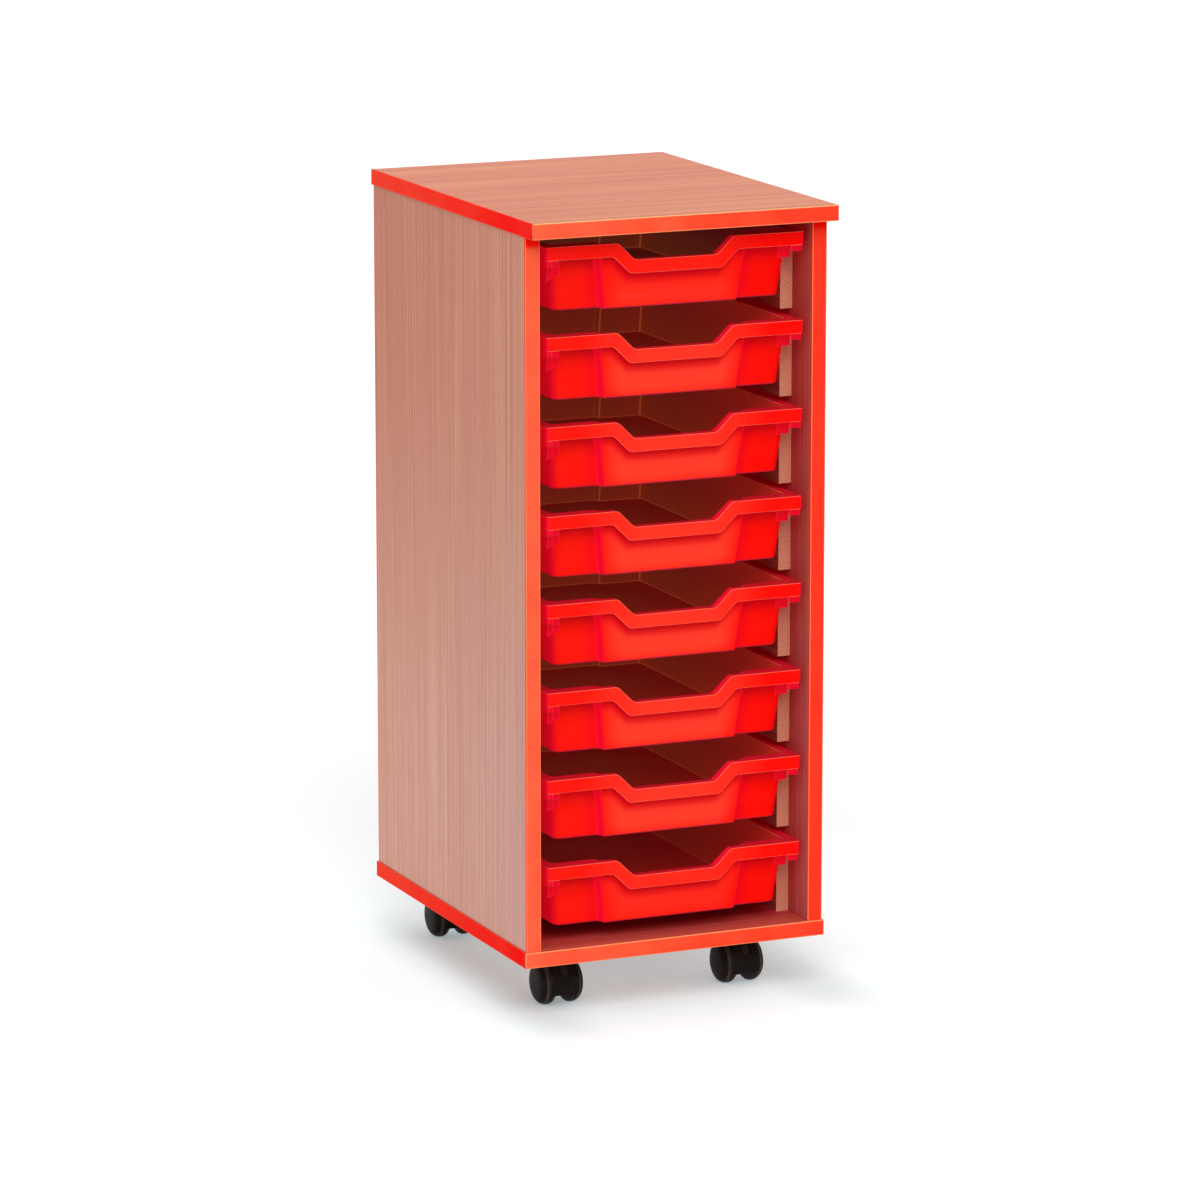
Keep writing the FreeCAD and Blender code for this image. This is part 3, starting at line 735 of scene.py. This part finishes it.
def push_dip(bm):
    """Lowers the middle of the rim and the band under it. Returns the faces of the band."""
    faces = cut(bm, [rim_face, end_band], DIP_LOW)
    faces = cut(bm, faces, DIP_HIGH)
    for vert in bm.verts:
        at_end = vert.co.y > END_ZONE and vert.co.z > -BAND - 1
        if at_end and vert.co.x < DIP_LOW + 1:
            if vert.co.y < HALF_LENGTH - 1:
                vert.co.y -= DIP * END_DRAFT
            vert.co.z -= DIP
    for vert in bm.verts:
        on_fold = vert.co.y > HALF_LENGTH - 1 and DIP_LOW - 1 < vert.co.x < DIP_HIGH + 1
        lowered = DIP * (vert.co.x < DIP_LOW + 1)
        if on_fold and abs(vert.co.z + lowered + BAND) < 0.1:
            vert.co.x += DIP_SPREAD
    return on_end_band(faces)


def add_skirt(bm, band_faces):
    """Steps the lower edge of the band back at sides and corners and draws the skirt down."""
    cap = HALF_WIDTH - SKIRT_CAP
    cut(bm, band_faces, cap)
    hem = [edge for edge in bm.edges if edge.is_boundary
           and all(abs(v.co.z + BAND) < 0.01 and v.co.x > cap - 0.1 for v in edge.verts)]
    set_back = new_verts(bmesh.ops.extrude_edge_only(bm, edges=hem))
    for vert in set_back:
        vert.co.x -= SKIRT_INSET * (vert.co.x > HALF_WIDTH - 0.5)
        vert.co.y -= SKIRT_INSET * (vert.co.y > HALF_LENGTH - 0.5)
    hem = [edge for edge in bm.edges if edge.is_boundary and all(v in set_back for v in edge.verts)
           and max(v.co.y for v in edge.verts) > 1
           and not all(abs(v.co.x - cap) < 0.1 for v in edge.verts)]
    lowest = new_verts(bmesh.ops.extrude_edge_only(bm, edges=hem))
    bmesh.ops.translate(bm, vec=(0, 0, BAND - SKIRT), verts=lowest)


add_skirt(tray_sheet, push_dip(tray_sheet))
print("with dip and skirt:", len(tray_sheet.faces), "faces")

# %% [markdown]
# ## Tray: mirror, corners and thickness
# The quarter is mirrored twice and its seams merged. Then the corners get their own radii: large
# ones at the corners of the body, small ones at the step of the end wall, and the soft line where
# walls meet floor. Solidify gives the sheet its wall, towards the channel under the rim.

# %% Tray: mirror, corners and thickness
BODY_ROUND, STEP_ROUND, MIDDLE_ROUND = 6.8, 4.4, 0.9    # upright corners of the body
RIM_ROUND, FOLD_ROUND, FLOOR_ROUND = 3.0, 2.85, 2.2


def near(value, target, slack=0.5):
    """Whether a value is close to a target or to its mirror image."""
    return abs(abs(value) - target) < slack


def upright_edges(bm, corner):
    """Wall edges from rim to floor that start at one corner of the inside line."""
    found = []
    for edge in bm.edges:
        lower, upper = sorted((vert.co for vert in edge.verts), key=lambda place: place.z)
        tall = upper.z - lower.z > HEIGHT / 2
        if tall and near(upper.x, corner[0]) and near(upper.y, corner[1]):
            found.append(edge)
    return found


def fold_edges(bm):
    """The four folds of each finger dip, across the rim and down the band."""
    folds = []
    for edge in bm.edges:
        first, second = sorted(abs(v.co.x) for v in edge.verts)
        starts = near(first, DIP_LOW, 0.1) or near(first, DIP_HIGH, 0.1)
        leans = second - first < 0.1 or near(second - first, DIP_SPREAD, 0.1)
        if starts and leans and all(abs(v.co.y) > END_ZONE for v in edge.verts):
            folds.append(edge)
    return folds


def corner_edges(bm):
    """Upright edges at the four corners of band and skirt."""
    return [edge for edge in bm.edges
            if all(abs(v.co.x) > HALF_WIDTH - 1.5 and abs(v.co.y) > HALF_LENGTH - 1.5
                   for v in edge.verts)]


def floor_edges(bm):
    """The line where walls meet floor."""
    return [edge for edge in sharp_edges(bm, 45)
            if all(near(v.co.z, FLOOR_DEPTH) for v in edge.verts)]


def whole_sheet(bm):
    """Mirrors the quarter, rounds its corners and gives the sheet its thickness."""
    for letter in "XY":
        geometry = bm.verts[:] + bm.edges[:] + bm.faces[:]
        bmesh.ops.mirror(bm, geom=geometry, matrix=Matrix.Identity(4), merge_dist=0.001,
                         axis=letter)
    bmesh.ops.remove_doubles(bm, verts=bm.verts[:], dist=0.001)
    bmesh.ops.recalc_face_normals(bm, faces=bm.faces[:])
    body_corner, step_corner, middle_corner = inside_line(0)[1:4]
    bevel(bm, upright_edges(bm, body_corner), BODY_ROUND, 5)
    bevel(bm, upright_edges(bm, step_corner), STEP_ROUND, 6)
    bevel(bm, upright_edges(bm, middle_corner), MIDDLE_ROUND, 3)
    bevel(bm, corner_edges(bm), RIM_ROUND, 4)
    bevel(bm, fold_edges(bm), FOLD_ROUND, 4)
    bevel(bm, floor_edges(bm), FLOOR_ROUND, 4)
    bmesh.ops.recalc_face_normals(bm, faces=bm.faces[:])
    floor = min(bm.faces, key=lambda f: f.calc_center_median().z)
    if floor.normal.z < 0:
        bmesh.ops.reverse_faces(bm, faces=bm.faces[:])
    bmesh.ops.solidify(bm, geom=bm.faces[:], thickness=WALL)


whole_sheet(tray_sheet)
spans = [[vert.co[axis] for vert in tray_sheet.verts] for axis in range(3)]
print("tray, millimetres:", [round(max(span) - min(span), 1) for span in spans])

# %% [markdown]
# ## Tray: gussets and the eight trays
# Webs in the four corners stiffen the rim. Each carries on the shoulder of the end wall towards the
# rim's corner, and those on the left hang lower, with a sloping foot and thin ribs. Then the
# shader's marks are set, every edge left sharp gets a small rounding, and the one drawing is
# handed over eight times.

# %% Tray: gussets and the eight trays
SHOULDER_FACE, SHOULDER_DRAFT = SHOULDER[0] + WALL, 7.5 / HEIGHT
WEBS = [    # side, inner edge, outer edge, depth, proud of the shoulder, drop of the foot
    (1, 133.0, 148.3, 31.5, 0.3, 0.0),
    (1, 147.3, HALF_WIDTH - 2.5, SKIRT - 0.5, 0.3, 0.0),
    (-1, 133.0, 147.3, 36.5, 0.8, 3.5),
    (-1, 141.0, 141.9, 35.5, 1.6, 0.0),
]
FOOT_ROUND, EDGE_ROUND = 4.0, 0.85
RIBS, RIB_WIDTH = (149.2, 152.6), 0.9


def add_web(bm, x_sign, y_sign, inner, outer, depth, proud, slope):
    """An upright plate in line with the shoulder's outer face. Returns its lower inner edge."""
    layer = bm.faces.layers.float.get(WEB) or bm.faces.layers.float.new(WEB)
    xs = sorted((x_sign * inner, x_sign * outer))
    verts = add_box(bm, (xs[0], -1, -depth), (xs[1], 1, -1.5))
    foot = [v for v in verts if v.co.z < -depth + 0.1]
    for vert in foot:
        vert.co.z -= slope * near(vert.co.x, outer, 0.1)
    for vert in verts:
        face = SHOULDER_FACE + SHOULDER_DRAFT * vert.co.z
        vert.co.y = y_sign * (face + (proud if vert.co.y * y_sign > 0 else 0.4 - WALL))
    for face in {face for vert in verts for face in vert.link_faces}:
        face[layer] = 1.0
    corner = [v for v in foot if near(v.co.x, inner, 0.1)]
    return next(e for e in corner[0].link_edges if e.other_vert(corner[0]) in corner)


def add_gussets(bm):
    """All webs, and two ribs on the skirt of each left corner."""
    for y_sign in (-1, 1):
        for x_sign, inner, outer, depth, proud, slope in WEBS:
            foot = add_web(bm, x_sign, y_sign, inner, outer, depth, proud, slope)
            if slope:
                bevel(bm, [foot], FOOT_ROUND, 4)
        for rib in RIBS:
            ys = sorted((y_sign * (HALF_LENGTH - 2.2), y_sign * (HALF_LENGTH - 0.3)))
            add_box(bm, (-rib - RIB_WIDTH, ys[0], -SKIRT + 1.0), (-rib, ys[1], -BAND + 0.5))


def mark_inside(bm):
    """Marks the faces that look into the tray's body."""
    layer = bm.faces.layers.float.new(INSIDE)
    for face in bm.faces:
        middle, normal = face.calc_center_median(), face.normal
        inward = middle.z < -4 and normal.xy.dot(middle.xy.normalized()) < -0.1
        wall = inward and abs(middle.x) < SIDE[0] + 0.7 and abs(middle.y) < MIDDLE_FACE[0] + 0.7
        floor = normal.z > 0.4 and middle.z < -60
        face[layer] = float(wall or floor)


def keep_places(bm):
    """Writes each vertex's place in the drawing into the mesh, for the shader."""
    layer = bm.verts.layers.float_vector.new(DRAWN)
    for vert in bm.verts:
        vert[layer] = vert.co


mark_inside(tray_sheet)
add_gussets(tray_sheet)
round_edges(tray_sheet, sharp_edges(tray_sheet), EDGE_ROUND)
keep_places(tray_sheet)
trays = []
for number in range(1, 9):
    node = f"tray_{number}"
    low, high = box_mm(node)
    middle = (low + high) / 2
    piece = hand_over(tray_sheet, node + "_moulded", node, tray_finish,
                      (middle.x, middle.y, low.z + HEIGHT))
    trays.append(piece)
print(len(trays), "trays of", len(trays[0].data.polygons), "faces")

# %% [markdown]
# ## Castor wheels
# Each castor has a pair of domed wheels on one axle. A wheel is a turned shape: its half section
# is drawn as a small polygon, the corners are rounded with a vertex bevel, and a spin about the
# axle makes the solid. Two bands of the tread are marked for a painted highlight.

# %% Castor wheels
WHEEL_RADIUS, AXLE_BACK, HALF_GAP = 25.0, 14.0, 7.0
WHEEL_SECTION = [(0.0, 3.06), (0.0, 25.0), (12.2, 25.0), (18.2, 20.6), (19.7, 13.0), (20.5, 0.0),
                 (16.5, 0.0), (16.5, 3.06)]    # depth from the inner face, radius
WHEEL_ROUNDS = {1: 7.0, 2: 3.2, 3: 3.0, 4: 3.0}    # corner of the section: radius
TREAD_FROM = 19    # radius beyond which a face belongs to the tread


def draw_wheel(side):
    """A wheel on its axle, which lies along X and behind the swivel's own axis."""
    bm = bmesh.new()
    section = [bm.verts.new((side * depth, 0, radius)) for depth, radius in WHEEL_SECTION]
    bm.faces.new(section)
    for corner, offset in WHEEL_ROUNDS.items():
        bmesh.ops.bevel(bm, geom=[section[corner]], offset=offset, offset_type="OFFSET",
                        segments=5, profile=0.5, affect="VERTICES", material=-1)
    bmesh.ops.delete(bm, geom=bm.faces[:], context="FACES_ONLY")
    bmesh.ops.spin(bm, geom=bm.verts[:] + bm.edges[:], cent=(0, 0, 0), axis=(1, 0, 0),
                   dvec=(0, 0, 0), angle=math.tau, steps=72, use_merge=True, use_duplicate=False)
    bmesh.ops.remove_doubles(bm, verts=bm.verts[:], dist=0.001)
    on_axle = [edge for edge in bm.edges if not edge.link_faces]
    bmesh.ops.delete(bm, geom=on_axle, context="EDGES")
    bmesh.ops.recalc_face_normals(bm, faces=bm.faces[:])
    layer = bm.faces.layers.float.new(EDGE)
    for face in bm.faces:
        middle = face.calc_center_median()
        depth = abs(middle.x)
        # two bands of the tread, at the inner round and across the middle, get a painted highlight
        painted_highlight = 0.35 * (depth < 7) + 0.8 * (10.5 < depth < 14)
        face[layer] = painted_highlight * (middle.yz.length > TREAD_FROM)
    bmesh.ops.translate(bm, vec=(side * HALF_GAP, AXLE_BACK, WHEEL_RADIUS), verts=bm.verts[:])
    return bm


wheel_drawings = {"left": draw_wheel(-1), "right": draw_wheel(1)}
print("a wheel has", len(wheel_drawings["left"].faces), "faces")

# %% [markdown]
# ## Castor hood
# The hood is the part that swivels. A curved cover wraps the front and top of both wheels, a rib
# and a disc between the wheels hold the axle, and a boss above takes the kingpin. Cover and rib are
# short bars spun part of the way round the axle. A raised drop marks the front, a circle whose
# lower half is drawn down to a point and which is then laid on the curve of the cover. Bars and
# drop are drawn by themselves and copied in, so that each stays a closed solid.

# %% Castor hood
HOOD_INNER, HOOD_OUTER = 26.2, 29.2
LIP_HEIGHT = 15.0    # of the front lip, above the floor
HOOD_START = math.asin((LIP_HEIGHT - WHEEL_RADIUS) / HOOD_OUTER)
HOOD_END = math.radians(128)
COVER_HALF = [(16.6, HOOD_INNER), (18.0, 25.6), (18.5, 25.9), (17.9, 27.2), (15.6, 28.5),
              (12.0, HOOD_OUTER)]
RIB_HALF = [(6.7, 3.2), (6.7, HOOD_INNER + 1.5)]
DISC_RADIUS, DISC_WIDTH = 17, 13.4
BOSS_RADIUS, BOSS_HEIGHT, BOSS_TOP = 9, 8, 59.7 - WHEEL_RADIUS
DROP_HALF, DROP_MIDDLE, DROP_TOP, DROP_RAISED = 4.1, 18.0, 25.0, 1.0    # heights above the axle


def add_part(bm, part):
    """Copies a part that was drawn by itself into this drawing."""
    mesh = bpy.data.meshes.new("part")
    part.to_mesh(mesh)
    bm.from_mesh(mesh)
    bpy.data.meshes.remove(mesh)


def add_arc_bar(bm, half_section):
    """A bar bent round the axle, from the front lip of the hood over the top to its back."""
    bar = bmesh.new()
    section = half_section + [(-x, radius) for x, radius in reversed(half_section)]
    face = bar.faces.new([bar.verts.new((x, -radius, 0)) for x, radius in section])
    bmesh.ops.rotate(bar, cent=(0, 0, 0), matrix=Matrix.Rotation(-HOOD_START, 3, "X"),
                     verts=bar.verts[:])
    bmesh.ops.spin(bar, geom=bar.verts[:] + bar.edges[:] + [face], cent=(0, 0, 0),
                   axis=(-1, 0, 0), dvec=(0, 0, 0), angle=HOOD_END - HOOD_START, steps=40,
                   use_merge=False, use_duplicate=False)
    bmesh.ops.recalc_face_normals(bar, faces=bar.faces[:])
    add_part(bm, bar)


def add_drop(bm):
    """The raised drop: cut across so that it can bend, laid on the cover and given thickness."""
    drop = bmesh.new()
    bmesh.ops.create_circle(drop, cap_ends=True, radius=DROP_HALF, segments=24)
    for vert in drop.verts:
        x, y = vert.co.xy
        pull = 1.6 - 0.6 * abs(x) / DROP_HALF
        vert.co = (x, 0, DROP_TOP if y > 0 else DROP_MIDDLE + y * pull)
    for level in (14, 16, 18, 20, 22):
        bmesh.ops.bisect_plane(drop, geom=drop.verts[:] + drop.edges[:] + drop.faces[:],
                               dist=0.001, plane_co=(0, 0, level), plane_no=(0, 0, 1))
    for vert in drop.verts:
        vert.co.y = -math.sqrt((HOOD_OUTER + DROP_RAISED) ** 2 - vert.co.z ** 2)
    sunk = new_verts(bmesh.ops.extrude_face_region(drop, geom=drop.faces[:], use_keep_orig=True))
    bmesh.ops.translate(drop, vec=(0, 2.0, 0), verts=sunk)
    bmesh.ops.recalc_face_normals(drop, faces=drop.faces[:])
    round_edges(drop, sharp_edges(drop, 60), 0.4)
    # the whole drop is marked for a faint painted highlight
    layer = drop.faces.layers.float.get(EDGE)
    for face in drop.faces:
        face[layer] = 0.3
    add_part(bm, drop)


def add_cylinder(bm, radius, height, segments, matrix):
    bmesh.ops.create_cone(bm, cap_ends=True, segments=segments, radius1=radius, radius2=radius,
                          depth=height, matrix=matrix)


def draw_hood():
    """The whole hood, with the axle behind the swivel's own axis."""
    bm = bmesh.new()
    add_arc_bar(bm, COVER_HALF)
    add_arc_bar(bm, RIB_HALF)
    add_cylinder(bm, DISC_RADIUS, DISC_WIDTH, 64, Matrix.Rotation(math.pi / 2, 4, "Y"))
    boss_middle = (0, -AXLE_BACK, BOSS_TOP - BOSS_HEIGHT / 2)
    add_cylinder(bm, BOSS_RADIUS, BOSS_HEIGHT, 40, Matrix.Translation(boss_middle))
    # the rounded edges are marked for a painted highlight
    round_edges(bm, sharp_edges(bm), 0.9, 3)
    add_drop(bm)
    bmesh.ops.translate(bm, vec=(0, AXLE_BACK, WHEEL_RADIUS), verts=bm.verts[:])
    return bm


hood_drawing = draw_hood()
print("a hood has", len(hood_drawing.faces), "faces")

# %% [markdown]
# ## Placing the four castors
# The same drawings serve all four castors. The measured kingpin tells where each one stands.

# %% Placing the four castors
for name in ("front_left", "front_right", "back_left", "back_right"):
    castor = "castor_" + name
    low, high = box_mm(castor + "_pin")
    swivel = ((low.x + high.x) / 2, (low.y + high.y) / 2, 0)
    hand_over(hood_drawing, castor + "_cover", castor + "_hood", castor_finish,
              swivel)
    for side, drawing in wheel_drawings.items():
        hand_over(drawing, f"{castor}_tyre_{side}", f"{castor}_wheel_{side}",
                  castor_finish, swivel)
print("four castors, each a hood and two wheels")

# %% [markdown]
# ## Studio
# Soft light comes from all round, and one wide sun from the front left gives the faces their
# difference. The camera and the reflections see plain white. The floor is white paper, slightly
# cool close to the unit against the red light that the unit throws on it, and lit a little from
# within where the camera sees it, so that only the deep part of the shadow stays. That painted
# light is weaker beside and before the unit's foot, a painted shadow that spreads the shadow softly
# forwards, and stronger behind it, painted light that takes out the sun's shadow there.

# %% Studio
WORLD_LIGHT = 0.72
SUN_STRENGTH, SUN_SPREAD, SUN_AZIMUTH, SUN_ELEVATION = 1.6, 40, 20, 38    # angles in degrees
FLOOR_RADIUS = 30


def grey(level):
    """A linear colour without hue."""
    return (level, level, level, 1)


def background_rays(tree):
    """1 for rays from the camera, off a gloss or through glass, which see the plain backdrop."""
    path = tree.nodes.new("ShaderNodeLightPath")
    total = sum((Shade(tree, path.outputs[name]) for name in
                 ("Is Camera Ray", "Is Glossy Ray", "Is Transmission Ray")), 0)
    return total.node("Clamp", {}, {"Value": total})


def set_world(light):
    """Soft light of one strength, in front of a backdrop that the camera sees as white."""
    world = bpy.data.worlds.new("studio")
    world.use_nodes = True
    bpy.context.scene.world = world
    tree = world.node_tree
    tree.nodes.clear()
    shade = Shade(tree)
    lit = shade.node("Background", {}, {"Color": grey(1), "Strength": light})
    seen = shade.node("Background", {}, {"Color": grey(1), "Strength": 1.0})
    mixed = shade.node("MixShader", {}, {0: background_rays(tree), 1: lit, 2: seen})
    output = tree.nodes.new("ShaderNodeOutputWorld")
    tree.links.new(mixed.socket, output.inputs["Surface"])


def add_sun(name, strength, spread, azimuth, elevation):
    """A sun whose light comes from azimuth, in degrees from -Y towards -X, at an elevation."""
    data = bpy.data.lights.new(name, "SUN")
    data.energy, data.angle = strength, math.radians(spread)
    sun = bpy.data.objects.new(name, data)
    sun.rotation_euler = (math.radians(90 - elevation), 0, math.radians(-azimuth))
    bpy.context.scene.collection.objects.link(sun)


def floor_light(x, y):
    """The light from within the floor, by the place round the unit."""
    aside = abs(x - 0.02)
    # painted light from within: cooler and stronger below the unit, a painted shadow beside and
    # before its foot, painted light behind it
    below = (1 - abs(x).ramp(0.14, 0.34)) * (1 - abs(y).ramp(0.25, 0.7))
    beside = aside.step(0.1, 0.17) * (1 - aside.step(0.18, 0.25)) * (1 - abs(y).step(0.2, 0.34))
    before = (1 - aside.step(0.16, 0.24)) * y.step(-0.04, -0.14) * y.step(-0.33, -0.22)
    behind = x.step(0.25, 0.32) * (1 - x.ramp(0.4, 0.55)) * y.step(-0.1, 0.04)
    light = below.mix(grey(0.32), (0.36, 0.405, 0.415, 1))
    light = (beside * 0.4 + before * 0.2).mix(light, grey(0.02))
    return behind.mix(light, grey(0.4))


def floor_paper():
    """White paper that the camera sees lit from within, and that the lamps see plain."""
    material = bpy.data.materials.new("floor_paper")
    material.use_nodes = True
    tree = material.node_tree
    tree.nodes.clear()
    shade = Shade(tree)
    x, y, _ = shade.node("TexCoord", {}, {}, "Object").parts()
    # cooler paper close to the unit, against the red light that the unit throws on it
    close = (1 - abs(x).ramp(0.25, 0.5)) * (1 - abs(y).ramp(0.3, 0.6))
    paper = close.mix((0.74, 0.745, 0.75, 1), (0.7, 0.755, 0.765, 1))
    plain = shade.node("BsdfDiffuse", {}, {"Color": grey(0.78)})
    white = shade.node("BsdfDiffuse", {}, {"Color": paper})
    painted_glow = shade.node("Emission", {}, {"Color": floor_light(x, y), "Strength": 1.0})
    seen = shade.node("AddShader", {}, {0: white, 1: painted_glow})
    mixed = shade.node("MixShader", {}, {0: background_rays(tree), 1: plain, 2: seen})
    output = tree.nodes.new("ShaderNodeOutputMaterial")
    tree.links.new(mixed.socket, output.inputs["Surface"])
    return material


def add_floor():
    bm = bmesh.new()
    bmesh.ops.create_circle(bm, cap_ends=True, segments=96, radius=FLOOR_RADIUS)
    mesh = bpy.data.meshes.new("floor")
    bm.to_mesh(mesh)
    mesh.materials.append(floor_paper())
    floor = bpy.data.objects.new("floor", mesh)
    bpy.context.scene.collection.objects.link(floor)


set_world(WORLD_LIGHT)
add_sun("key", SUN_STRENGTH, SUN_SPREAD, SUN_AZIMUTH, SUN_ELEVATION)
add_floor()
print("studio is lit")
